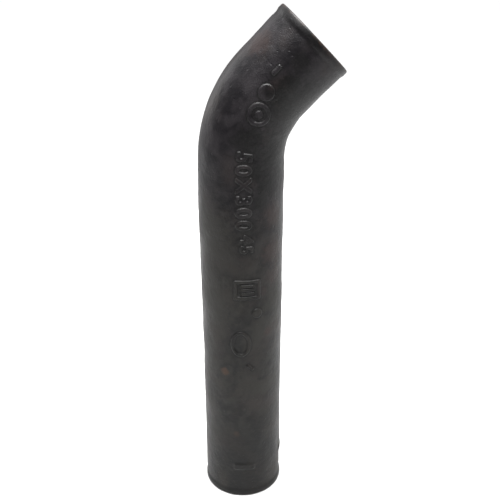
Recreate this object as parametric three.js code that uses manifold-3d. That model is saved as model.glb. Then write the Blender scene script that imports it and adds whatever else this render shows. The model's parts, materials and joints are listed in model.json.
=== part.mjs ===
// A hubless cast-iron eighth bend with one long leg: a pipe elbow cast in one piece. Millimetres, +Z up.
// The origin is the centre of the long leg's end face. The long leg stands along +Z, the bend and the
// short leg lean towards +X, and the raised casting marks face -Y.
//
// The pipe is first made straight: one lathe turned about the pipe's own axis, with the lugs and the
// marks joined on. Then it is bent. Each cross-section keeps its shape and moves to its station, its
// distance along the elbow's centreline from the long leg's end.

import * as THREE from 'three';
import { mergeVertices } from 'three/addons/utils/BufferGeometryUtils.js';
import Module from 'manifold-3d';

const wasm = await Module();
wasm.setup();

const INCH = 25.4;

// Pipe
const barrelDiameter = 2.35 * INCH;
const wallThickness = 0.16 * INCH;
const bendAngle = Math.PI / 4;
const bendRadius = 3 * INCH; // of the centreline
const longLegLength = 12 * INCH; // from the end face to where the two legs' centrelines cross
const shortLegLength = 2.75 * INCH; // the same on the short side

// Ends
const beadWidth = 0.25 * INCH;
const beadRise = 0.03 * INCH;
const rimRounding = 1.2;
const boreEdgeRounding = 0.8;

// Lugs that show how far the coupling's rubber sleeve goes over the long leg
const lugFromEnd = 1.13 * INCH;
const lugRise = 0.7;
const lugLength = 8;
const lugWidth = 17; // around the pipe
const lugAngles = [0, Math.PI / 2]; // facing -Y and +X

// Raised casting marks
const markRise = 0.8;
const strokeWidth = 1.8;
const numeralHeight = 11;
const numeralPitch = 9;
const smallNumeralScale = 0.7;

// Fineness of the facets
const sidesAround = 48;
const bendSteps = 10;
const barStep = 3; // longest flat stretch of a mark that runs around the pipe
const rootDepth = 1.5; // how deep a mark's or lug's root sits in the wall

const barrelRadius = barrelDiameter / 2;
const boreRadius = barrelRadius - wallThickness;
const beadRadius = barrelRadius + beadRise;
const legToBend = bendRadius * Math.tan(bendAngle / 2);
const bendStart = longLegLength - legToBend;
const bendEnd = bendStart + bendRadius * bendAngle;
const pipeEnd = bendEnd + shortLegLength - legToBend;

// Turns a three.js geometry into a solid that can be joined.
function solid(geometry) {
  const bare = geometry.clone();
  bare.deleteAttribute('normal');
  bare.deleteAttribute('uv');
  const merged = mergeVertices(bare, 1e-3);
  return new wasm.Manifold(new wasm.Mesh({
    numProp: 3,
    vertProperties: merged.getAttribute('position').array,
    triVerts: Uint32Array.from(merged.getIndex().array),
  }));
}

// Points of a rounded corner, from one side of the corner to the other.
function roundedCorner(corner, radius, fromAngle, toAngle, steps = 2) {
  const centre = corner.clone().sub(new THREE.Vector2(
    Math.sign(Math.cos((fromAngle + toAngle) / 2)) * radius,
    Math.sign(Math.sin((fromAngle + toAngle) / 2)) * radius,
  ));
  return Array.from({ length: steps + 1 }, (_, i) => {
    const angle = fromAngle + (toAngle - fromAngle) * i / steps;
    return centre.clone().add(new THREE.Vector2(Math.cos(angle), Math.sin(angle)).multiplyScalar(radius));
  });
}

// The straight pipe's wall in section, as radius and station, closed on itself: up the outside from the
// long leg's end, with its bead, and back down the bore.
function wallSection() {
  const quarter = Math.PI / 2;
  const beadSlope = beadRise * 2;
  const bendStations = Array.from({ length: bendSteps + 1 }, (_, i) => (
    bendStart + (bendEnd - bendStart) * i / bendSteps
  ));
  const section = [
    ...roundedCorner(new THREE.Vector2(beadRadius, 0), rimRounding, -quarter, 0),
    new THREE.Vector2(beadRadius, beadWidth - beadSlope),
    new THREE.Vector2(barrelRadius, beadWidth),
    ...bendStations.map((station) => new THREE.Vector2(barrelRadius, station)),
    new THREE.Vector2(barrelRadius, pipeEnd - beadWidth),
    new THREE.Vector2(beadRadius, pipeEnd - beadWidth + beadSlope),
    ...roundedCorner(new THREE.Vector2(beadRadius, pipeEnd), rimRounding, 0, quarter),
    ...roundedCorner(new THREE.Vector2(boreRadius, pipeEnd), boreEdgeRounding, quarter, 2 * quarter),
    ...bendStations.toReversed().map((station) => new THREE.Vector2(boreRadius, station)),
    ...roundedCorner(new THREE.Vector2(boreRadius, 0), boreEdgeRounding, 2 * quarter, 3 * quarter),
  ];
  return [...section, section[0].clone()];
}

// A lathe turns about +Y, so the pipe is laid over to stand along +Z. Its first side faces -Y.
function straightPipe() {
  return solid(new THREE.LatheGeometry(wallSection(), sidesAround).rotateX(Math.PI / 2));
}

// Lays a flat mark on the straight pipe. x runs along the reading direction, towards the long leg's
// end, y runs around the pipe from -Y towards +X, and z stands out from the barrel.
function layOnPipe(geometry, station, angle) {
  const points = geometry.getAttribute('position');
  for (let i = 0; i < points.count; i += 1) {
    const around = angle + points.getY(i) / barrelRadius;
    const radius = barrelRadius + points.getZ(i);
    points.setXYZ(i, radius * Math.sin(around), -radius * Math.cos(around), station - points.getX(i));
  }
  return solid(geometry);
}

// A flat bar between two points, with square ends half its width past them.
function bar([x0, y0], [x1, y1], rise = markRise, width = strokeWidth) {
  const length = Math.hypot(x1 - x0, y1 - y0) + width;
  return new THREE.BoxGeometry(length, width, rise + rootDepth, Math.ceil(length / barStep), 1, 1)
    .rotateZ(Math.atan2(y1 - y0, x1 - x0))
    .translate((x0 + x1) / 2, (y0 + y1) / 2, (rise - rootDepth) / 2);
}

// An oval ring, measured to the middle of its stroke.
function ring(width, height, steps = 20) {
  const oval = (shape, grow) => (
    shape.absellipse(0, 0, width / 2 + grow, height / 2 + grow, 0, 2 * Math.PI, false)
  );
  const shape = oval(new THREE.Shape(), strokeWidth / 2);
  shape.holes.push(oval(new THREE.Path(), -strokeWidth / 2));
  return new THREE.ExtrudeGeometry(shape, {
    depth: markRise + rootDepth,
    bevelEnabled: false,
    curveSegments: steps,
  }).translate(0, 0, -rootDepth);
}

// A round raised dot.
function dot(diameter) {
  return new THREE.CylinderGeometry(diameter / 2, diameter / 2, markRise + rootDepth, 16)
    .rotateX(Math.PI / 2)
    .translate(0, 0, (markRise - rootDepth) / 2);
}

// Strokes of the numerals, on a cell 6 wide and 10 high with its middle at 0, 0.
const numeralStrokes = {
  0: [[[-1.5, 5], [1.5, 5], [3, 3], [3, -3], [1.5, -5], [-1.5, -5], [-3, -3], [-3, 3], [-1.5, 5]]],
  3: [[[-3, 5], [3, 5], [0, 1], [2, 0.5], [3, -1.5], [2, -4.4], [-1, -5], [-3, -3.6]]],
  4: [[[1.5, -5], [1.5, 5], [-3, -1.8], [3, -1.8]]],
  5: [[[3, 5], [-2.5, 5], [-3, 0.6], [0, 1.2], [2.6, 0], [3, -2.4], [1.4, -4.7], [-3, -4.6]]],
  X: [[[-3, -5], [3, 5]], [[-3, 5], [3, -5]]],
};
const numeralCellHeight = 10;

// The flat bars of one line of numerals, centred on its own middle.
function numerals(text, height, pitch) {
  const scale = height / numeralCellHeight;
  return Array.from(text).flatMap((character, place) => {
    const shift = (place - (text.length - 1) / 2) * pitch;
    return (numeralStrokes[character] ?? []).flatMap((stroke) => (
      stroke.slice(1).map((end, i) => bar(
        [stroke[i][0] * scale + shift, stroke[i][1] * scale],
        [end[0] * scale + shift, end[1] * scale],
      ))
    ));
  });
}

// A plain frame with three bars in it.
function barredFrame(width, height) {
  const [x, y] = [width / 2, height / 2];
  const corners = [[-x, -y], [x, -y], [x, y], [-x, y]];
  const edges = corners.map((corner, i) => bar(corner, corners[(i + 1) % corners.length]));
  const bars = [-0.25, 0, 0.25].map((share) => bar([share * width, -y / 2], [share * width, y / 2]));
  return [...edges, ...bars];
}

// The marks from the short leg down, each with its station counted from the start of the bend and its
// place around the pipe, as millimetres from the -Y line towards +X.
const marks = [
  { flat: [bar([-3, 0], [3, 0])], pastBend: 67, aside: -8 },
  { flat: [dot(9)], pastBend: 53, aside: -3 },
  { flat: [ring(12.5, 12.5), dot(4)], pastBend: 39, aside: 1 },
  { flat: numerals('50X300', numeralHeight, numeralPitch), pastBend: -15, aside: 0 },
  {
    flat: numerals('45', numeralHeight * smallNumeralScale, numeralPitch * smallNumeralScale),
    pastBend: -52,
    aside: 2,
  },
  { flat: barredFrame(13, 17), pastBend: -88, aside: 3 },
  { flat: [dot(6)], pastBend: -107, aside: 10 },
  { flat: [ring(20, 14)], pastBend: -132, aside: -2 },
  { flat: [bar([-1.5, -1.5], [1.5, 1.5])], pastBend: -152, aside: 5 },
];

function markSolids() {
  return marks.flatMap(({ flat, pastBend, aside }) => (
    flat.map((piece) => layOnPipe(piece, bendStart + pastBend, aside / barrelRadius))
  ));
}

// Low pads with their long side around the pipe.
function lugSolids() {
  const reach = (lugWidth - lugLength) / 2;
  return lugAngles.map((angle) => (
    layOnPipe(bar([0, -reach], [0, reach], lugRise, lugLength), lugFromEnd, angle)
  ));
}

// Moves the straight pipe's points to their places on the bent one.
function bendPoints(points) {
  for (let i = 0; i < points.length; i += 3) {
    const station = points[i + 2];
    const turn = THREE.MathUtils.clamp((station - bendStart) / bendRadius, 0, bendAngle);
    const along = station - THREE.MathUtils.clamp(station, bendStart, bendEnd);
    const toBendCentre = bendRadius - points[i];
    points[i] = bendRadius - toBendCentre * Math.cos(turn) + along * Math.sin(turn);
    points[i + 2] = bendStart + toBendCentre * Math.sin(turn) + along * Math.cos(turn);
  }
  return points;
}

function bentPipe() {
  const parts = [straightPipe(), ...lugSolids(), ...markSolids()];
  const { vertProperties, triVerts } = parts.reduce((whole, part) => whole.add(part)).getMesh();
  const geometry = new THREE.BufferGeometry();
  geometry.setAttribute('position', new THREE.BufferAttribute(bendPoints(vertProperties), 3));
  geometry.setIndex(new THREE.BufferAttribute(triVerts, 1));
  return geometry.toNonIndexed();
}

const blackIron = new THREE.MeshStandardMaterial({ color: 0x34353a, roughness: 0.45, metalness: 0.3 });
blackIron.name = 'black_iron';

const casting = new THREE.Mesh(bentPipe(), blackIron);
casting.geometry.computeVertexNormals();
casting.name = 'elbow_casting';

const elbow = new THREE.Group();
elbow.name = 'elbow';
elbow.add(casting);

export default elbow;
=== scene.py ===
# %% [markdown]
# # A long-legged eighth bend in cast iron
#
# The real object is one grey-iron casting: a straight leg, a 45 degree bend and a short leg. Molten
# iron was poured round a sand core, so the wall is even but never perfectly smooth. The fitting was
# then dipped in black bituminous paint, which runs thin on edges and lets brown rust through.
#
# The engineering model comes first. It is loaded as a fixed frame, and everything made here is put
# where that frame says.

import json
import math

import bmesh
import bpy
import numpy as np
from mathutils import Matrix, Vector
from mathutils.bvhtree import BVHTree


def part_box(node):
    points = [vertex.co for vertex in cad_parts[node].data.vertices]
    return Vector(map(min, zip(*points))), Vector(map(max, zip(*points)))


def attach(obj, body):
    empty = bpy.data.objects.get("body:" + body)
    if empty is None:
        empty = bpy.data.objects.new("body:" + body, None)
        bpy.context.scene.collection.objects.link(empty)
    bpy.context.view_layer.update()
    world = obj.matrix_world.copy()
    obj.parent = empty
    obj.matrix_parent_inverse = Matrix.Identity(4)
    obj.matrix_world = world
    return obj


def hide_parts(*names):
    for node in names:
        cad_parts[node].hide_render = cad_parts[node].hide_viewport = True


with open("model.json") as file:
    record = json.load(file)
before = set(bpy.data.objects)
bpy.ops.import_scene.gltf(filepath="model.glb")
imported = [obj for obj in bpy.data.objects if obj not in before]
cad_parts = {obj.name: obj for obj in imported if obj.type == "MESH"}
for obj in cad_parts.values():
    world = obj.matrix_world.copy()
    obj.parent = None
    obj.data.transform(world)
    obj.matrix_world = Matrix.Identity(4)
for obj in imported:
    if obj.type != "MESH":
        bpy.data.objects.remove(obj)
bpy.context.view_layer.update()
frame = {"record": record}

# %% [markdown]
# ## Sizes
#
# Pipe fittings are made to standard sizes, still given in inches. Three lengths set this one's
# shape: how far each leg's end is from the point where the two centrelines would cross, and the
# radius that the centreline bends to. The rest is read from the frame, so that the finished piece
# and the engineering model can't drift apart: the barrel's radius and the way the short leg's end
# faces are in its list of mounts, and the beads at the ends are the widest part of its box.
#
# A point on a pipe is easy to name by its *station*, the distance along the centreline from the
# long leg's end. The script works with stations until the last step of the shape.

# %% Name the sizes
MM = 0.001
INCH = 25.4 * MM

long_leg = 12 * INCH
short_leg = 2.75 * INCH
bend_radius = 3 * INCH
wall = 0.16 * INCH
bead_width = 0.25 * INCH

mounts = {mount["name"]: mount for mount in frame["record"]["mounts"]}
barrel_radius = mounts["long_spigot"]["dims"]["r_mm"] * MM
bead_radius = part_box("elbow_casting")[1].y
bore_radius = barrel_radius - wall
short_end_axis = Vector(mounts["short_end_face"]["axis"]).normalized()
bend_angle = short_end_axis.angle((0, 0, 1))

leg_to_bend = bend_radius * math.tan(bend_angle / 2)
bend_start = long_leg - leg_to_bend
bend_end = bend_start + bend_radius * bend_angle
pipe_end = bend_end + short_leg - leg_to_bend

face_distance = short_end_axis.dot(Vector(mounts["short_end_face"]["pos_m"]))
drift = long_leg * math.cos(bend_angle) + short_leg - face_distance
print(f"the bend runs from station {bend_start / MM:.1f} to {bend_end / MM:.1f} mm, "
      f"the pipe ends at {pipe_end / MM:.1f} mm")
print(f"the short leg's face is {drift / MM:.3f} mm from where the frame has it")

# %% [markdown]
# ## Three small helpers
#
# Blender's operators work on whatever is selected, and loading the frame leaves its parts selected.
# So each step first selects just the object that it works on. Inside edit mode, faces, edges and
# points are picked in code by where they are, as a person would pick them by looking.

# %% Select one object, and pick parts of a mesh by place
def take(piece):
    bpy.ops.object.select_all(action="DESELECT")
    piece.select_set(True)
    bpy.context.view_layer.objects.active = piece


def pick(piece, kind, wanted):
    """In edit mode, selects the VERT, EDGE or FACE elements whose middle and normal are wanted."""
    bpy.ops.mesh.select_mode(type=kind)
    bpy.ops.mesh.select_all(action="DESELECT")
    mesh = bmesh.from_edit_mesh(piece.data)
    elements = {"VERT": mesh.verts, "EDGE": mesh.edges, "FACE": mesh.faces}[kind]
    chosen = 0
    for element in elements:
        if wanted(element):
            element.select_set(True)
            chosen += 1
    mesh.select_flush_mode()
    bmesh.update_edit_mesh(piece.data)
    return chosen


def apply_modifiers(piece):
    take(piece)
    for modifier in list(piece.modifiers):
        bpy.ops.object.modifier_apply(modifier=modifier.name)


# %% [markdown]
# ## The wall, drawn as one travelling ring
#
# A pipe could be two cylinders with one cut from the other, but then its ends are sharp and hard to
# shape. Here a single ring of edges is extruded along the wall's section instead: up the outside,
# over the short leg's rim, down the bore, and back to where it began. At each stop it is scaled to
# the radius it needs there. That gives the beads and the rounded rims for free, and the wall closes
# on itself with no seam.
#
# The pipe is made straight and bent at the end, because every mark on it is far easier to place on a
# straight pipe.

# %% The section of the wall: radius and station at each stop
rim_round = 1.2 * MM
bore_edge_round = 0.8 * MM
bead_crest = 3.4 * MM  # how far from the end the bead starts to fall away
bead_foot = bead_width + 0.4 * MM


def quarter_round(radius, steps=4):
    """Steps round a corner, as (distance from its first side, distance from its second side)."""
    turns = [math.pi / 2 * step / steps for step in range(steps + 1)]
    return [(radius * (1 - math.sin(turn)), radius * (1 - math.cos(turn))) for turn in turns]


def bead_slope(steps=7):
    """The soft fall from the bead to the barrel, as (radius, distance from the end)."""
    slope = []
    for step in range(steps + 1):
        share = step / steps
        ease = (1 + math.cos(math.pi * share)) / 2
        slope.append((barrel_radius + (bead_radius - barrel_radius) * ease,
                      bead_crest + (bead_foot - bead_crest) * share))
    return slope


# An end's outside, from its flat face to the barrel, and an end's bore edge, from the bore to the face.
outer_end = [(bead_radius - inset, depth) for inset, depth in quarter_round(rim_round)] + bead_slope()
bore_end = [(bore_radius + inset, depth) for inset, depth in reversed(quarter_round(bore_edge_round))]

stops = outer_end + [(radius, pipe_end - depth) for radius, depth in reversed(outer_end)]
stops += [(radius, pipe_end - depth) for radius, depth in reversed(bore_end)]
stops += [(bore_radius, bend_end), (bore_radius, bend_start)]
stops += bore_end
print(len(stops), "stops for the ring, from", [round(size / MM, 2) for size in stops[0]], "to",
      [round(size / MM, 2) for size in stops[-1]])

# %% [markdown]
# The ring starts as a circle with a point every degree. Two points in three are dissolved, which
# leaves a barrel that still looks round. The ones beside the mould's parting line stay, because a
# thin ridge is formed there.

# %% Set the first ring on the long leg's flat end face
ring_points = 360  # one each degree
parting_half_angle = 2
coarse_step = 3


def side_angle(place):
    """Degrees round the pipe from the -Y line, which is the side with the marks, towards +X."""
    return math.degrees(math.atan2(place.x, -place.y))


def spare_column(point):
    angle = abs(side_angle(point.co))
    return abs(angle - 90) > parting_half_angle and round(angle) % coarse_step != 0


bpy.ops.object.select_all(action="DESELECT")
bpy.ops.mesh.primitive_circle_add(vertices=ring_points, radius=stops[0][0], location=(0, 0, bend_start))
casting = bpy.context.object
casting.name = "cast_elbow"
bpy.ops.object.mode_set(mode="EDIT")
bpy.ops.transform.translate(value=(0, 0, -bend_start))
spare = pick(casting, "VERT", spare_column)
bpy.ops.mesh.dissolve_verts()
print(spare, "points dissolved,", ring_points - spare, "columns left")

# %% Send the ring round the wall and close it
bpy.ops.mesh.select_mode(type="EDGE")
bpy.ops.mesh.select_all(action="SELECT")
radius, station = stops[0]
for next_radius, next_station in stops[1:]:
    bpy.ops.mesh.extrude_edges_move(
        TRANSFORM_OT_translate={"value": (0, 0, next_station - station)})
    growth = next_radius / radius
    bpy.ops.transform.resize(value=(growth, growth, 1), center_override=(0, 0, next_station))
    radius, station = next_radius, next_station
pick(casting, "EDGE", lambda edge: edge.is_boundary)
bpy.ops.mesh.bridge_edge_loops()
bpy.ops.mesh.select_all(action="SELECT")
bpy.ops.mesh.normals_make_consistent(inside=False)
print(len(bmesh.from_edit_mesh(casting.data).faces), "faces before the rows are cut")

# %% [markdown]
# Only the bands between two stops exist so far, some of them long. Edges that run along the pipe are
# cut into rows, wider apart in the bore, where nothing but a smooth bend has to show.

# %% Cut the long bands into rows
barrel_row = 1.5 * MM
bore_row = 4 * MM
same_place = 0.01 * MM


def spans(edge, lower, upper):
    """Whether an edge runs from one stop to the next."""
    ends = sorted(edge.verts, key=lambda point: point.co.z)
    return all(
        abs(end.co.z + bend_start - station) < same_place
        and abs(math.hypot(end.co.x, end.co.y) - radius) < same_place
        for end, (radius, station) in zip(ends, (lower, upper)))


for lower, upper in zip(stops, stops[1:]):
    lower, upper = sorted((lower, upper), key=lambda stop: stop[1])
    row = barrel_row if lower[0] > barrel_radius - wall / 2 else bore_row
    rows = round((upper[1] - lower[1]) / row)
    if rows > 1:
        pick(casting, "EDGE", lambda edge: spans(edge, lower, upper))
        bpy.ops.mesh.subdivide_edgering(number_cuts=rows - 1, interpolation="LINEAR", smoothness=0)
        print(f"{rows} rows from station {lower[1] / MM:.1f} to {upper[1] / MM:.1f} mm")
bpy.ops.object.mode_set(mode="OBJECT")
print(len(casting.data.polygons), "faces in the straight wall")

# %% [markdown]
# ## The raised marks, laid out flat
#
# A foundry's pattern carries raised figures and marks, so every casting repeats them. The ones here
# are plain: the size in whole millimetres, the angle, and simple shapes of the kind that tell one
# mould from another. They are drawn flat, as on a sheet that will be wrapped round the pipe: across
# the sheet is the way round the pipe, and up the sheet is the way along it. They read downwards,
# towards the long leg's end.

# %% Helpers that draw one flat mark
reading_down = (math.pi / 2, math.pi / 2, 0)  # turns a flat thing to face -Y with its top towards +X
stroke = 1.3 * MM
strip_width = 1.3 * MM


def flat_numerals(body, height, station, around):
    bpy.ops.object.text_add(location=(around, 0, station), rotation=reading_down)
    text = bpy.context.object
    text.data.body = body
    text.data.align_x = "CENTER"
    text.data.align_y = "CENTER"
    text.data.offset = -0.004  # thins the strokes a little
    text.data.space_character = 1.24  # keeps the raised strokes apart
    bpy.ops.object.convert(target="MESH")
    text.scale = [height / text.dimensions.y] * 3
    print(body, "is", round(text.dimensions.x * height / text.dimensions.y / MM, 1), "mm long")
    return text


def flat_disc(width, height, station, around, hollow=False):
    bpy.ops.mesh.primitive_circle_add(
        vertices=40, radius=0.5, fill_type="NGON", location=(around, 0, station), rotation=reading_down)
    disc = bpy.context.object
    disc.scale = (width, height, 1)
    return open_middle(disc) if hollow else disc


def flat_bar(width, height, station, around, tilt=0, hollow=False):
    bpy.ops.mesh.primitive_plane_add(size=1, location=(around, 0, station), rotation=reading_down)
    plate = bpy.context.object
    plate.scale = (width, height, 1)
    bpy.ops.transform.rotate(value=tilt, orient_axis="Y", center_override=(around, 0, station))
    return open_middle(plate) if hollow else plate


def open_middle(mark):
    """Leaves only a stroke's width of a flat shape, all along its edge."""
    bpy.ops.object.transform_apply(location=False, rotation=False, scale=True)
    bpy.ops.object.mode_set(mode="EDIT")
    bpy.ops.mesh.select_all(action="SELECT")
    bpy.ops.mesh.inset(thickness=stroke)
    bpy.ops.mesh.delete(type="FACE")
    bpy.ops.object.mode_set(mode="OBJECT")
    return mark


def wrap_sheet(marks, name):
    """Joins flat marks, cuts them into narrow strips and rolls them onto the barrel."""
    bpy.ops.object.select_all(action="DESELECT")
    for mark in marks:
        mark.select_set(True)
    bpy.context.view_layer.objects.active = marks[0]
    bpy.ops.object.join()
    sheet = bpy.context.object
    sheet.name = name
    bpy.ops.object.transform_apply(location=True, rotation=True, scale=True)
    sides = [corner[0] for corner in sheet.bound_box]
    left, right = min(sides), max(sides)
    bpy.ops.object.mode_set(mode="EDIT")
    for across in np.arange(left, right, strip_width)[1:]:
        bpy.ops.mesh.select_all(action="SELECT")
        bpy.ops.mesh.bisect(plane_co=(across, 0, 0), plane_no=(1, 0, 0))
    bpy.ops.object.mode_set(mode="OBJECT")
    roll = sheet.modifiers.new("roll", "SIMPLE_DEFORM")
    roll.deform_method = "BEND"
    roll.deform_axis = "Z"
    roll.angle = (right - left) / barrel_radius
    apply_modifiers(sheet)
    bpy.ops.object.mode_set(mode="EDIT")
    bpy.ops.mesh.select_all(action="SELECT")
    bpy.ops.transform.translate(value=(0, -barrel_radius, 0))
    bpy.ops.object.mode_set(mode="OBJECT")
    return sheet


quarter_way_round = barrel_radius * math.pi / 2
lug_station = 28.7 * MM
parting_stops_short = 9 * MM

# %% Draw the marks from the bend down, and the lugs and the parting lines
figures = wrap_sheet([
    flat_bar(6 * MM, stroke, bend_start + 67 * MM, -8 * MM),
    flat_disc(9 * MM, 9 * MM, bend_start + 53 * MM, -3 * MM),
    flat_disc(14 * MM, 14 * MM, bend_start + 39 * MM, 1 * MM, hollow=True),
    flat_disc(4 * MM, 4 * MM, bend_start + 39 * MM, 1 * MM),
    flat_numerals("50X300", 10 * MM, bend_start - 15 * MM, 0),
    flat_numerals("45", 8.5 * MM, bend_start - 53 * MM, 2 * MM),
    flat_bar(14 * MM, 18 * MM, bend_start - 88 * MM, 3 * MM, hollow=True),
    *[flat_bar(stroke, 9 * MM, bend_start - 88 * MM + across, 3 * MM)
      for across in (-3 * MM, 0, 3 * MM)],
    flat_disc(6 * MM, 6 * MM, bend_start - 107 * MM, 10 * MM),
    flat_disc(20 * MM, 14 * MM, bend_start - 132 * MM, -2 * MM, hollow=True),
    flat_bar(5 * MM, stroke, bend_start - 152 * MM, 5 * MM, tilt=math.pi / 4),
], "casting_marks")
lugs = wrap_sheet([
    flat_bar(3 * MM, 14 * MM, lug_station, around) for around in (0, quarter_way_round)
], "sleeve_lugs")
parting = wrap_sheet([
    flat_bar(pipe_end - 2 * parting_stops_short, 1.0 * MM, pipe_end / 2, around)
    for around in (-quarter_way_round, quarter_way_round)
], "parting_lines")
for sheet in (figures, lugs, parting):
    print(sheet.name, "reaches", [round(size / MM, 1) for size in sheet.dimensions], "mm")

# %% [markdown]
# ## Raising the marks out of the wall
#
# Separate letters pushed into a pipe look stuck on. In a casting they grow out of the wall with soft
# shoulders, because sand doesn't hold a sharp corner. So the wall itself is lifted: a Vertex Weight
# Proximity modifier gives every point near a mark a weight that fades with distance, and a Displace
# modifier pushes the points out by that weight. The same two steps make the lugs that show how far
# a coupling's sleeve goes on, and the thin ridges where the two halves of the mould met.
#
# A shoulder one millimetre wide needs small faces. Only the faces close to a mark are cut smaller,
# so the rest of the pipe stays light. Smoothness keeps the new points on the round of the barrel.
# An attribute keeps the narrow band round each mark's foot, which the coat darkens as painted shade for the
# corner there.

# %% Cut the wall finely near the marks and the lugs
def near(sheet, distance):
    """A test for faces of the casting that have some of the sheet close to their middle."""
    surface = BVHTree.FromObject(sheet, bpy.context.evaluated_depsgraph_get())

    def is_near(face):
        middle = casting.matrix_world @ face.calc_center_median()
        return surface.find_nearest(middle, distance)[0] is not None
    return is_near


for sheet, margin, cuts in ((figures, 2.3 * MM, 5), (lugs, 4.0 * MM, 2)):
    take(casting)
    bpy.ops.object.mode_set(mode="EDIT")
    print(pick(casting, "FACE", near(sheet, margin)), "faces are near", sheet.name)
    bpy.ops.mesh.subdivide(number_cuts=cuts, smoothness=1.0)
    bpy.ops.object.mode_set(mode="OBJECT")
print(len(casting.data.polygons), "faces in the wall now")

# %% Lift the wall under each sheet of marks
def lift_under(piece, sheet, rise, soft):
    group = piece.vertex_groups.new(name=sheet.name)
    group.add(range(len(piece.data.vertices)), 1.0, "REPLACE")
    closeness = piece.modifiers.new("near " + sheet.name, "VERTEX_WEIGHT_PROXIMITY")
    closeness.vertex_group = sheet.name
    closeness.target = sheet
    closeness.proximity_mode = "GEOMETRY"
    closeness.proximity_geometry = {"FACE"}
    closeness.min_dist = soft  # no weight from here on
    closeness.max_dist = 0  # full weight on the mark itself
    closeness.falloff_type = "SMOOTH"
    lift = piece.modifiers.new("lift " + sheet.name, "DISPLACE")
    lift.vertex_group = sheet.name
    lift.mid_level = 0
    lift.strength = rise
    apply_modifiers(piece)
    bpy.data.objects.remove(sheet)


# the band round each mark's foot, weighted for the painted shade that the coat puts there
surface = BVHTree.FromObject(figures, bpy.context.evaluated_depsgraph_get())
shoulder = 1.0 * MM  # how far out a mark's foot is from its flat top
foot_width = 2.2 * MM
beside = np.zeros(len(casting.data.vertices))
for point in casting.data.vertices:
    distance = surface.find_nearest(casting.matrix_world @ point.co, foot_width)[3]
    if distance:
        beside[point.index] = min(distance / shoulder, (foot_width - distance) / (foot_width - shoulder))
casting.data.attributes.new("painted_shade_beside_marks", "FLOAT", "POINT").data.foreach_set("value", beside)

lift_under(casting, figures, rise=0.8 * MM, soft=shoulder)
lift_under(casting, lugs, rise=0.75 * MM, soft=2.6 * MM)
lift_under(casting, parting, rise=0.3 * MM, soft=0.8 * MM)
reach = max(math.hypot(point.co.x, point.co.y) for point in casting.data.vertices)
print(f"the marks stand {(reach - barrel_radius) / MM:.2f} mm proud of the barrel")

# %% [markdown]
# ## The skin of a casting
#
# Up close no casting is a true cylinder. The sand mould gives a little, so the barrel swells and
# dips over a few centimetres, and the sand's own grain leaves a fine tooth. Displace modifiers with
# a cloud texture do this well. Three of them, each about a quarter of the last one's size, read as
# one natural surface. A vertex group holds the ends still, because the rims were ground flat and
# have to seat in a coupling.
#
# Before the shape changes, every point's place on the straight pipe is kept as an attribute. The
# paint's patterns will use it, so that they follow the pipe round its bend.

# %% Hold the ends, keep the straight places, then roughen the skin
ground_length = 9 * MM
straight = np.array([point.co for point in casting.data.vertices]) + [0, 0, bend_start]
straight_place = casting.data.attributes.new("straight_place", "FLOAT_VECTOR", "POINT")
straight_place.data.foreach_set("vector", straight.ravel())

from_end = np.minimum(straight[:, 2], pipe_end - straight[:, 2]).clip(0, ground_length) / ground_length
skin = casting.vertex_groups.new(name="skin")
for index, share in enumerate(from_end):
    skin.add([index], share * share * (3 - 2 * share), "REPLACE")


def roughen(piece, name, size, height):
    texture = bpy.data.textures.new(name, "CLOUDS")
    texture.noise_scale = size
    texture.noise_depth = 1
    clouds = piece.modifiers.new(name, "DISPLACE")
    clouds.texture = texture
    clouds.texture_coords = "LOCAL"
    clouds.vertex_group = "skin"
    clouds.mid_level = 0.5
    clouds.strength = height


roughen(casting, "swell", size=38 * MM, height=1.1 * MM)
roughen(casting, "ripple", size=9 * MM, height=0.34 * MM)
roughen(casting, "tooth", size=2.4 * MM, height=0.10 * MM)
apply_modifiers(casting)

bulge = Vector((-barrel_radius, 0, 228 * MM - bend_start))  # a low swelling on the side away from the bend
bulge_rise = 0.7 * MM
bulge_reach = 55 * MM
bpy.ops.object.mode_set(mode="EDIT")
pick(casting, "VERT", lambda point: (point.co - bulge).length < 5 * MM)
bpy.ops.transform.translate(value=(-bulge_rise, 0, 0), use_proportional_edit=True,
                            proportional_edit_falloff="SMOOTH", proportional_size=bulge_reach)
bpy.ops.object.mode_set(mode="OBJECT")
spread = np.array([math.hypot(*point.co.xy) for point in casting.data.vertices])[straight[:, 2] < 100 * MM]
print("the bare barrel's radius now runs up to", round(spread.max() / MM, 2), "mm")

# %% [markdown]
# ## Bending the pipe
#
# A Simple Deform modifier set to Bend turns everything between its two limits by one angle, and
# carries what lies beyond them along unturned in shape. It bends about its object's own origin. That
# is why the pipe was modelled with its origin at the start of the bend: there the turn is nothing,
# and the long leg stays exactly where it is.

# %% Bend it, and move its origin to the frame's
bend = casting.modifiers.new("bend", "SIMPLE_DEFORM")
bend.deform_method = "BEND"
bend.deform_axis = "Y"
bend.angle = bend_angle
bend.limits = (bend_start / pipe_end, bend_end / pipe_end)
apply_modifiers(casting)
bpy.ops.object.transform_apply(location=True, rotation=True, scale=True)
bpy.ops.object.shade_smooth_by_angle(angle=math.radians(40))
print("size of the bent casting in mm:", [round(side / MM, 1) for side in casting.dimensions])

# %% [markdown]
# ## Building blocks for the finish
#
# The paint is one material on the outside and a rougher, rustier one in the bore, and both need the
# same effects: grain, patches where the paint ran thin, specks of rust, and wear at the rims. Each
# effect is a node group with named inputs, made once here and used with different values in each
# material. A group only works out a mask or a height. The shader that uses it stays in the material.

# %% Helpers for node trees
def put(tree, kind, inputs=None, **settings):
    """Adds a node. Its inputs are given as numbers, colours or other nodes' outputs."""
    node = tree.nodes.new(kind)
    for name, value in settings.items():
        setattr(node, name, value)
    for name, value in (inputs or {}).items():
        if isinstance(value, bpy.types.NodeSocket):
            tree.links.new(value, node.inputs[name])
        else:
            node.inputs[name].default_value = value
    return node


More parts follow.
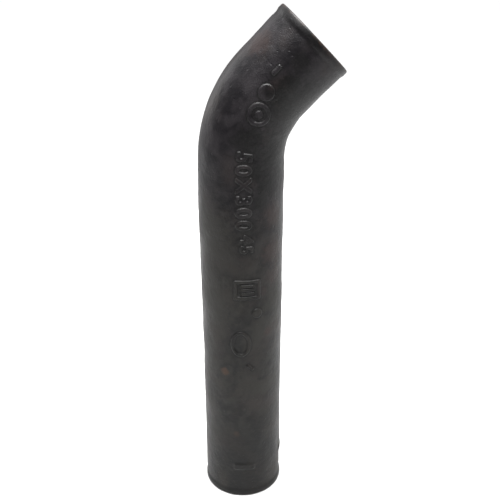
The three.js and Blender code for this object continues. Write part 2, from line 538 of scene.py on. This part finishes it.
def sums(tree, operation, first, second=0.0, clamp=False):
    return put(tree, "ShaderNodeMath", {0: first, 1: second}, operation=operation, use_clamp=clamp).outputs[0]


def fade(tree, value, start, end):
    """A smooth step from 0 at start to 1 at end. start may be the larger."""
    stepped = put(tree, "ShaderNodeMapRange", {"Value": value, "From Min": start, "From Max": end},
                  interpolation_type="SMOOTHSTEP")
    return stepped.outputs["Result"]


def mixed(tree, share, first, second):
    """Blends two colours. The node's colour sockets are its seventh, its eighth and its third output."""
    mix = put(tree, "ShaderNodeMix", {0: share, 6: first, 7: second}, data_type="RGBA")
    return mix.outputs[2]


def effect(name, inputs, output):
    """Starts a node group with the given inputs and one output, and returns it with its two ends."""
    group = bpy.data.node_groups.new(name, "ShaderNodeTree")
    for label, value in inputs.items():
        kind = "NodeSocketVector" if isinstance(value, tuple) else "NodeSocketFloat"
        group.interface.new_socket(label, in_out="INPUT", socket_type=kind).default_value = value
    group.interface.new_socket(output, in_out="OUTPUT", socket_type="NodeSocketFloat")
    start, end = group.nodes.new("NodeGroupInput"), group.nodes.new("NodeGroupOutput")
    return group, start.outputs, lambda value: group.links.new(value, end.inputs[output])


def use(tree, group, inputs):
    return put(tree, "ShaderNodeGroup", inputs, node_tree=group).outputs[0]


# %% [markdown]
# Sand leaves a fine tooth in the iron, and thick paint softens it into an orange-peel skin with a pit
# here and there. The group adds the three as one height for a Bump node.

# %% Effect: cast grain under paint
cast_grain, given, give = effect(
    "Cast grain", {"Place": (0.0, 0.0, 0.0), "Grain": 0.8 * MM, "Peel": 4 * MM}, "Height")
grain_scale = sums(cast_grain, "DIVIDE", 1.0, given["Grain"])
fine = put(cast_grain, "ShaderNodeTexNoise",
           {"Vector": given["Place"], "Scale": grain_scale, "Detail": 3.0})
peel_scale = sums(cast_grain, "DIVIDE", 1.0, given["Peel"])
peel = put(cast_grain, "ShaderNodeTexNoise",
           {"Vector": given["Place"], "Scale": peel_scale, "Detail": 1.0})
pits = put(cast_grain, "ShaderNodeTexVoronoi",
           {"Vector": given["Place"], "Scale": sums(cast_grain, "DIVIDE", 0.7, given["Peel"])})
pit_depth = fade(cast_grain, pits.outputs["Distance"], 0.16, 0.05)
height = sums(cast_grain, "MULTIPLY", fine.outputs[0], 0.5)
height = sums(cast_grain, "ADD", height, sums(cast_grain, "MULTIPLY", peel.outputs[0], 0.65))
give(sums(cast_grain, "SUBTRACT", height, sums(cast_grain, "MULTIPLY", pit_depth, 0.4)))
print(cast_grain.name, "is made of", len(cast_grain.nodes), "nodes")

# %% [markdown]
# Bituminous paint pools and drains as a dipped part hangs to dry. Where it drained, the coat is thin
# and the iron's brown or grey shows through. The patches are soft noise cut off at a level: a low
# level gives wide patches and a high one gives few.

# %% Effect: soft patches
patches, given, give = effect(
    "Patches", {"Place": (0.0, 0.0, 0.0), "Size": 30 * MM, "Level": 0.55, "Softness": 0.1}, "Mask")
cloud = put(patches, "ShaderNodeTexNoise",
            {"Vector": given["Place"], "Scale": sums(patches, "DIVIDE", 1.0, given["Size"]),
             "Detail": 3.0, "Roughness": 0.55, "Distortion": 0.3})
give(fade(patches, cloud.outputs[0], sums(patches, "SUBTRACT", given["Level"], given["Softness"]),
          sums(patches, "ADD", given["Level"], given["Softness"])))
print(patches.name, "is made of", len(patches.nodes), "nodes")

# %% [markdown]
# Rust starts in single points where the coat has a pinhole. A Voronoi texture scatters points
# evenly, and each point's random colour decides whether rust has begun there at all.

# %% Effect: scattered specks
specks, given, give = effect(
    "Specks", {"Place": (0.0, 0.0, 0.0), "Spacing": 12 * MM, "Size": 0.12, "Share": 0.3}, "Mask")
points = put(specks, "ShaderNodeTexVoronoi",
             {"Vector": given["Place"], "Scale": sums(specks, "DIVIDE", 1.0, given["Spacing"])})
chance = put(specks, "ShaderNodeSeparateColor", {"Color": points.outputs["Color"]})
begun = sums(specks, "LESS_THAN", chance.outputs[0], given["Share"])
ragged_scale = sums(specks, "DIVIDE", 4.0, given["Spacing"])
ragged = put(specks, "ShaderNodeTexNoise",
             {"Vector": given["Place"], "Scale": ragged_scale, "Detail": 3.0})
reach = sums(specks, "MULTIPLY", given["Size"], sums(specks, "MULTIPLY", ragged.outputs[0], 2.0))
give(sums(specks, "MULTIPLY", begun,
          fade(specks, points.outputs["Distance"], reach, sums(specks, "MULTIPLY", reach, 0.3))))
print(specks.name, "is made of", len(specks.nodes), "nodes")

# %% [markdown]
# Some rust and brown spots sit in one known place, and so do patches of painted shade and painted
# light. This effect marks a ragged round spot about a point, and each use gives it its own centre and
# reach.

# %% Effect: one spot in a chosen place, used for rust and for painted shade and light
stain_and_shade_spot, given, give = effect(
    "Stain and shade spot", {"Place": (0.0, 0.0, 0.0), "Centre": (0.0, 0.0, 0.0), "Reach": 4 * MM}, "Mask")
away = put(stain_and_shade_spot, "ShaderNodeVectorMath", {0: given["Place"], 1: given["Centre"]}, operation="DISTANCE")
edge = put(stain_and_shade_spot, "ShaderNodeTexNoise", {"Vector": given["Place"], "Scale": 350.0, "Detail": 3.0})
far = sums(stain_and_shade_spot, "DIVIDE", away.outputs["Value"], given["Reach"])
far = sums(stain_and_shade_spot, "ADD", far, sums(stain_and_shade_spot, "SUBTRACT", edge.outputs[0], 0.5))
give(fade(stain_and_shade_spot, far, 1.0, 0.3))
print(stain_and_shade_spot.name, "is made of", len(stain_and_shade_spot.nodes), "nodes")

# %% [markdown]
# The rims knock against other castings in the store, so the paint there is rubbed thin. The station
# along the pipe says how far a point is from the nearer end. A wider band from the same group gives
# the coat painted shade just inside each end.

# %% Effect: a band at the ends, for wear and for painted shade
end_band_for_wear_and_shade, given, give = effect(
    "End band for wear and shade", {"Place": (0.0, 0.0, 0.0), "Pipe length": pipe_end, "Band": 8 * MM}, "Mask")
station = put(end_band_for_wear_and_shade, "ShaderNodeSeparateXYZ", {"Vector": given["Place"]}).outputs["Z"]
from_end = sums(end_band_for_wear_and_shade, "MINIMUM", station, sums(end_band_for_wear_and_shade, "SUBTRACT", given["Pipe length"], station))
broken = put(end_band_for_wear_and_shade, "ShaderNodeTexNoise", {"Vector": given["Place"], "Scale": 160.0, "Detail": 4.0})
ragged_band = sums(end_band_for_wear_and_shade, "MULTIPLY", given["Band"], sums(end_band_for_wear_and_shade, "MULTIPLY", broken.outputs[0], 2.0))
give(fade(end_band_for_wear_and_shade, from_end, ragged_band, 0.0))
print(end_band_for_wear_and_shade.name, "is made of", len(end_band_for_wear_and_shade.nodes), "nodes")

# %% [markdown]
# ## The black coat
#
# Half-matte black paint looks black only where it faces something dark. Most of what is seen on it is
# the white room, mirrored weakly face-on and strongly at a slant, which the shader's own Fresnel
# gives. So the base colour is close to black, and the life is in small changes: greyer and browner
# patches, rust at the pinholes, and a gloss that is never quite even. The coat turns from a warm black
# to a plum one towards the bend. At the rims it is rubbed through to brown iron with a little fresh
# rust. The larger dark, brown and rusty places are put where they belong one by one. Some of them are
# painted shade and light: large dark patches on the right of the bend and near the long leg's end,
# and two large grey patches on the left side. A dark band just inside each end and round the foot of
# each raised mark is painted shade too.

# %% The coat on the outside
near_black = (0.0035, 0.0033, 0.0031, 1)
thin_grey = (0.0230, 0.0214, 0.0180, 1)
plum_black = (0.0042, 0.0030, 0.0048, 1)
plum_grey = (0.0242, 0.0206, 0.0236, 1)
iron_brown = (0.030, 0.0215, 0.0190, 1)
rust_orange = (0.065, 0.034, 0.020, 1)
rust_red = (0.034, 0.0185, 0.0160, 1)


def start_material(name):
    material = bpy.data.materials.new(name)
    material.use_nodes = True
    tree = material.node_tree
    tree.nodes.clear()
    shader = tree.nodes.new("ShaderNodeBsdfPrincipled")
    surface = tree.nodes.new("ShaderNodeOutputMaterial")
    shader.inputs["Specular IOR Level"].default_value = 0.4
    tree.links.new(shader.outputs[0], surface.inputs["Surface"])
    place = put(tree, "ShaderNodeAttribute", attribute_name="straight_place").outputs["Vector"]
    return material, tree, shader, place


def on_barrel(station, aside):
    """The straight place of a point given by its station and its distance aside of the -Y line, in mm."""
    turn = aside * MM / barrel_radius
    return [barrel_radius * math.sin(turn), -barrel_radius * math.cos(turn), station * MM]


coat, tree, shader, place = start_material("black_coat")
thin = use(tree, patches, {"Place": place, "Size": 30 * MM, "Level": 0.53, "Softness": 0.09})
brown = use(tree, patches, {"Place": place, "Size": 26 * MM, "Level": 0.58, "Softness": 0.12})
mottle = use(tree, patches, {"Place": place, "Size": 8 * MM, "Level": 0.52, "Softness": 0.12})
speck = use(tree, specks, {"Place": place, "Spacing": 17 * MM, "Size": 0.09, "Share": 0.2})
worn = use(tree, end_band_for_wear_and_shade, {"Place": place, "Band": 2.5 * MM})
# painted shade: a dark band from the rubbed rim to about 11 mm in from each end
painted_end_shade = sums(tree, "SUBTRACT", use(tree, end_band_for_wear_and_shade, {"Place": place, "Band": 11 * MM}), worn, clamp=True)
# painted shade: the band round each raised mark's foot
foot = put(tree, "ShaderNodeAttribute", attribute_name="painted_shade_beside_marks").outputs["Fac"]

station = put(tree, "ShaderNodeSeparateXYZ", {"Vector": place}).outputs["Z"]
upper = fade(tree, station, 170 * MM, 290 * MM)
thick = mixed(tree, upper, near_black, plum_black)
drained = mixed(tree, upper, thin_grey, plum_grey)
colour = mixed(tree, thin, thick, drained)
colour = mixed(tree, sums(tree, "MULTIPLY", mottle, 0.6), colour, drained)
colour = mixed(tree, sums(tree, "MULTIPLY", brown, 0.5), colour, iron_brown)
# rust and brown spots, darker spots, and patches of painted shade and painted light, marked below
stains_and_painted_shading = [  # station and place aside in mm, reach in mm, colour, strength
    (293, 0, 14, near_black, 0.8), (270, 10, 9, near_black, 0.8), (260, 17, 10, near_black, 0.8),
    (250, 13, 9, near_black, 0.8), (233, 6, 8, near_black, 0.7), (330, 6, 9, near_black, 0.8),
    (342, 3, 8, near_black, 0.8), (354, -1, 9, near_black, 0.7), (94, -28, 12, near_black, 0.5),
    # the first spot below, at the long leg's end, is painted shade
    (12, 4, 24, near_black, 0.7), (70, 16, 13, near_black, 0.5), (135, -14, 12, near_black, 0.4),
    (239, 25, 13, rust_red, 0.5), (212, 25, 15, rust_red, 0.55), (192, 26, 11, rust_red, 0.45),
    (149, 20, 5, rust_red, 0.6), (182, 15, 5, rust_red, 0.4), (344, -32, 12, rust_red, 0.5),
    (204, -34, 7, rust_red, 0.7), (216, -30, 5, rust_red, 0.5), (371, 20, 6, rust_red, 0.6),
    (116.4, -15, 4.5, rust_orange, 0.75), (60.5, -6, 3.6, rust_orange, 0.5),
    # painted shade: large dark patches on the right of the bend and near the long leg's end
    (328, 28, 38, near_black, 1.0), (285, 32, 38, near_black, 1.0), (40, 2, 40, near_black, 0.6),
    # painted light: large grey patches that lighten the left side
    (222, -32, 36, thin_grey, 0.9), (175, -32, 36, thin_grey, 0.9),
]
for station, aside, reach, tint, strength in stains_and_painted_shading:
    mask = use(tree, stain_and_shade_spot, {"Place": place, "Centre": on_barrel(station, aside), "Reach": reach * MM})
    colour = mixed(tree, sums(tree, "MULTIPLY", mask, strength), colour, tint)
# painted shade just inside each end
colour = mixed(tree, sums(tree, "MULTIPLY", painted_end_shade, 0.8), colour, near_black)
rubbed = use(tree, patches, {"Place": place, "Size": 5 * MM, "Level": 0.46, "Softness": 0.10})
colour = mixed(tree, sums(tree, "MULTIPLY", worn, rubbed), colour, iron_brown)
fresh_rust = use(tree, patches, {"Place": place, "Size": 3 * MM, "Level": 0.58, "Softness": 0.05})
rusty_rim = sums(tree, "MULTIPLY", worn, fresh_rust)
colour = mixed(tree, sums(tree, "MULTIPLY", rusty_rim, 0.5), colour, rust_orange)
colour = mixed(tree, sums(tree, "MULTIPLY", speck, 0.6), colour, rust_orange)
# painted shade in the corner at each raised mark's foot
colour = mixed(tree, sums(tree, "MULTIPLY", foot, 0.8), colour, near_black)
tree.links.new(colour, shader.inputs["Base Color"])

dull = sums(tree, "MAXIMUM", sums(tree, "MULTIPLY", thin, 0.25), sums(tree, "MULTIPLY", speck, 0.8))
tree.links.new(put(tree, "ShaderNodeMapRange", {"Value": dull, "To Min": 0.35, "To Max": 0.75}).outputs[0],
               shader.inputs["Roughness"])
grain = use(tree, cast_grain, {"Place": place, "Grain": 0.8 * MM, "Peel": 3.5 * MM})
ground = fade(tree, use(tree, end_band_for_wear_and_shade, {"Place": place, "Band": 5 * MM}), 0.0, 0.8)
grain = sums(tree, "MULTIPLY", sums(tree, "SUBTRACT", grain, 0.6), sums(tree, "SUBTRACT", 1.0, ground))
bump = put(tree, "ShaderNodeBump", {"Height": grain, "Distance": 0.36 * MM, "Strength": 0.9})
tree.links.new(bump.outputs["Normal"], shader.inputs["Normal"])
print(coat.name, "has", len(stains_and_painted_shading), "hand-placed stains and", len(tree.nodes), "nodes")

# %% [markdown]
# The bore was dipped with the rest, but nobody wipes the runs off there and the damp air reaches it
# first. It gets the same effects with other values: duller, rougher and with more rust.

# %% The coat in the bore
bore_coat, tree, shader, place = start_material("bore_coat")
thin = use(tree, patches, {"Place": place, "Size": 26 * MM, "Level": 0.48, "Softness": 0.15})
brown = use(tree, patches, {"Place": place, "Size": 14 * MM, "Level": 0.55, "Softness": 0.08})
speck = use(tree, specks, {"Place": place, "Spacing": 9 * MM, "Size": 0.16, "Share": 0.35})
colour = mixed(tree, thin, near_black, thin_grey)
colour = mixed(tree, sums(tree, "MULTIPLY", brown, 0.8), colour, iron_brown)
colour = mixed(tree, sums(tree, "MULTIPLY", speck, 0.8), colour, rust_orange)
tree.links.new(colour, shader.inputs["Base Color"])
shader.inputs["Roughness"].default_value = 0.6
grain = use(tree, cast_grain, {"Place": place, "Grain": 1.1 * MM, "Peel": 6 * MM})
bump = put(tree, "ShaderNodeBump", {"Height": grain, "Distance": 0.5 * MM, "Strength": 0.9})
tree.links.new(bump.outputs["Normal"], shader.inputs["Normal"])
print(bore_coat.name, "has", len(tree.nodes), "nodes")

# %% Coat the casting
casting.data.materials.append(coat)
casting.data.materials.append(bore_coat)
places = np.zeros(len(casting.data.vertices) * 3)
casting.data.attributes["straight_place"].data.foreach_get("vector", places)
radii = np.hypot(*places.reshape(-1, 3)[:, :2].T)
bore_limit = bore_radius + bore_edge_round / 2
for face in casting.data.polygons:
    face.material_index = int(max(radii[index] for index in face.vertices) < bore_limit)
print(sum(face.material_index for face in casting.data.polygons), "faces are in the bore")

# %% Hand the casting to the frame
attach(casting, "root")
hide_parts("elbow_casting")
print(casting.name, "replaces the engineering model's casting")

# %% [markdown]
# ## Floor, light and camera
#
# The elbow stands on its long leg's end on a plain pale floor. Black paint shows the room more than
# itself, so what it mirrors matters. A studio puts white paper under the object and leaves the rest
# of the room dim. Here the floor is white to the camera, and to the paint it is a sheet of white
# paper that fades into a dimmer room. One large light overhead draws the upper edges of the raised
# marks, and a softer one on each side lifts the barrel's edges.

# %% Floor
floor_side = 60
paper_front = -0.3
room_front = -0.9
paper_white = (0.52, 0.52, 0.52, 1)
room_grey = (0.20, 0.20, 0.20, 1)
camera_white = (0.93, 0.93, 0.93, 1)
bpy.ops.object.select_all(action="DESELECT")
bpy.ops.mesh.primitive_plane_add(size=floor_side, location=(0, 0, 0))
floor = bpy.context.object
floor.name = "floor"
pale, tree, shader, place = start_material("pale_floor")
around = put(tree, "ShaderNodeTexCoord").outputs["Object"]
ahead = put(tree, "ShaderNodeSeparateXYZ", {"Vector": around}).outputs["Y"]
far = put(tree, "ShaderNodeVectorMath", {0: around}, operation="LENGTH").outputs["Value"]
seen = put(tree, "ShaderNodeLightPath").outputs["Is Camera Ray"]
mirrored = mixed(tree, fade(tree, ahead, paper_front, room_front), paper_white, room_grey)
tree.links.new(mixed(tree, seen, mirrored, camera_white), shader.inputs["Base Color"])
glow = sums(tree, "MULTIPLY", seen, sums(tree, "MULTIPLY", fade(tree, far, 0.6, 3.5), 0.30))
tree.links.new(glow, shader.inputs["Emission Strength"])
shader.inputs["Emission Color"].default_value = (1, 1, 1, 1)
shader.inputs["Roughness"].default_value = 0.9
floor.data.materials.append(pale)
print("the floor is", round(floor.dimensions.x), "m across")

# %% Light
world = bpy.data.worlds.new("white room")
bpy.context.scene.world = world
world.use_nodes = True
tree = world.node_tree
height = put(tree, "ShaderNodeSeparateXYZ", {"Vector": put(tree, "ShaderNodeTexCoord").outputs["Generated"]})
overhead = fade(tree, height.outputs["Z"], 0.25, 0.7)
room = put(tree, "ShaderNodeMapRange", {"Value": overhead, "To Min": 0.28, "To Max": 0.95}).outputs["Result"]
seen = put(tree, "ShaderNodeLightPath").outputs["Is Camera Ray"]
tree.links.new(sums(tree, "MAXIMUM", room, seen), tree.nodes["Background"].inputs["Strength"])
tree.nodes["Background"].inputs["Color"].default_value = (1, 1, 1, 1)


def soft_light(name, place, aim, size, power):
    bpy.ops.object.light_add(type="AREA", location=place)
    light = bpy.context.object
    light.name = name
    light.data.size = size
    light.data.energy = power
    light.rotation_euler = (Vector(aim) - Vector(place)).to_track_quat("-Z", "Y").to_euler()


mid_height = (0.0, 0.0, 0.2)
soft_light("overhead", (0.0, -0.1, 1.4), mid_height, size=1.0, power=30)
soft_light("left side", (-1.2, 1.1, 0.75), mid_height, size=1.1, power=4.5)
soft_light("right side", (1.6, 0.4, 0.7), mid_height, size=1.2, power=5)
print([(light.name, light.energy) for light in bpy.data.lights])

# %% Camera
looking_down = 22.98  # degrees below level
camera_roll = 0.1
turned_right = 2.59  # degrees away from looking straight along +Y
bpy.ops.object.camera_add(location=(-14.7 * MM, -468.5 * MM, 402.6 * MM))
camera = bpy.context.object
camera.name = "camera"
camera.rotation_euler = [math.radians(turn) for turn in (90 - looking_down, camera_roll, -turned_right)]
camera.data.sensor_width = 36
camera.data.lens = 49.66
bpy.context.scene.camera = camera
bpy.context.scene.view_settings.view_transform = "Standard"
print("the camera is", round(camera.location.length, 3), "m from the long leg's end")
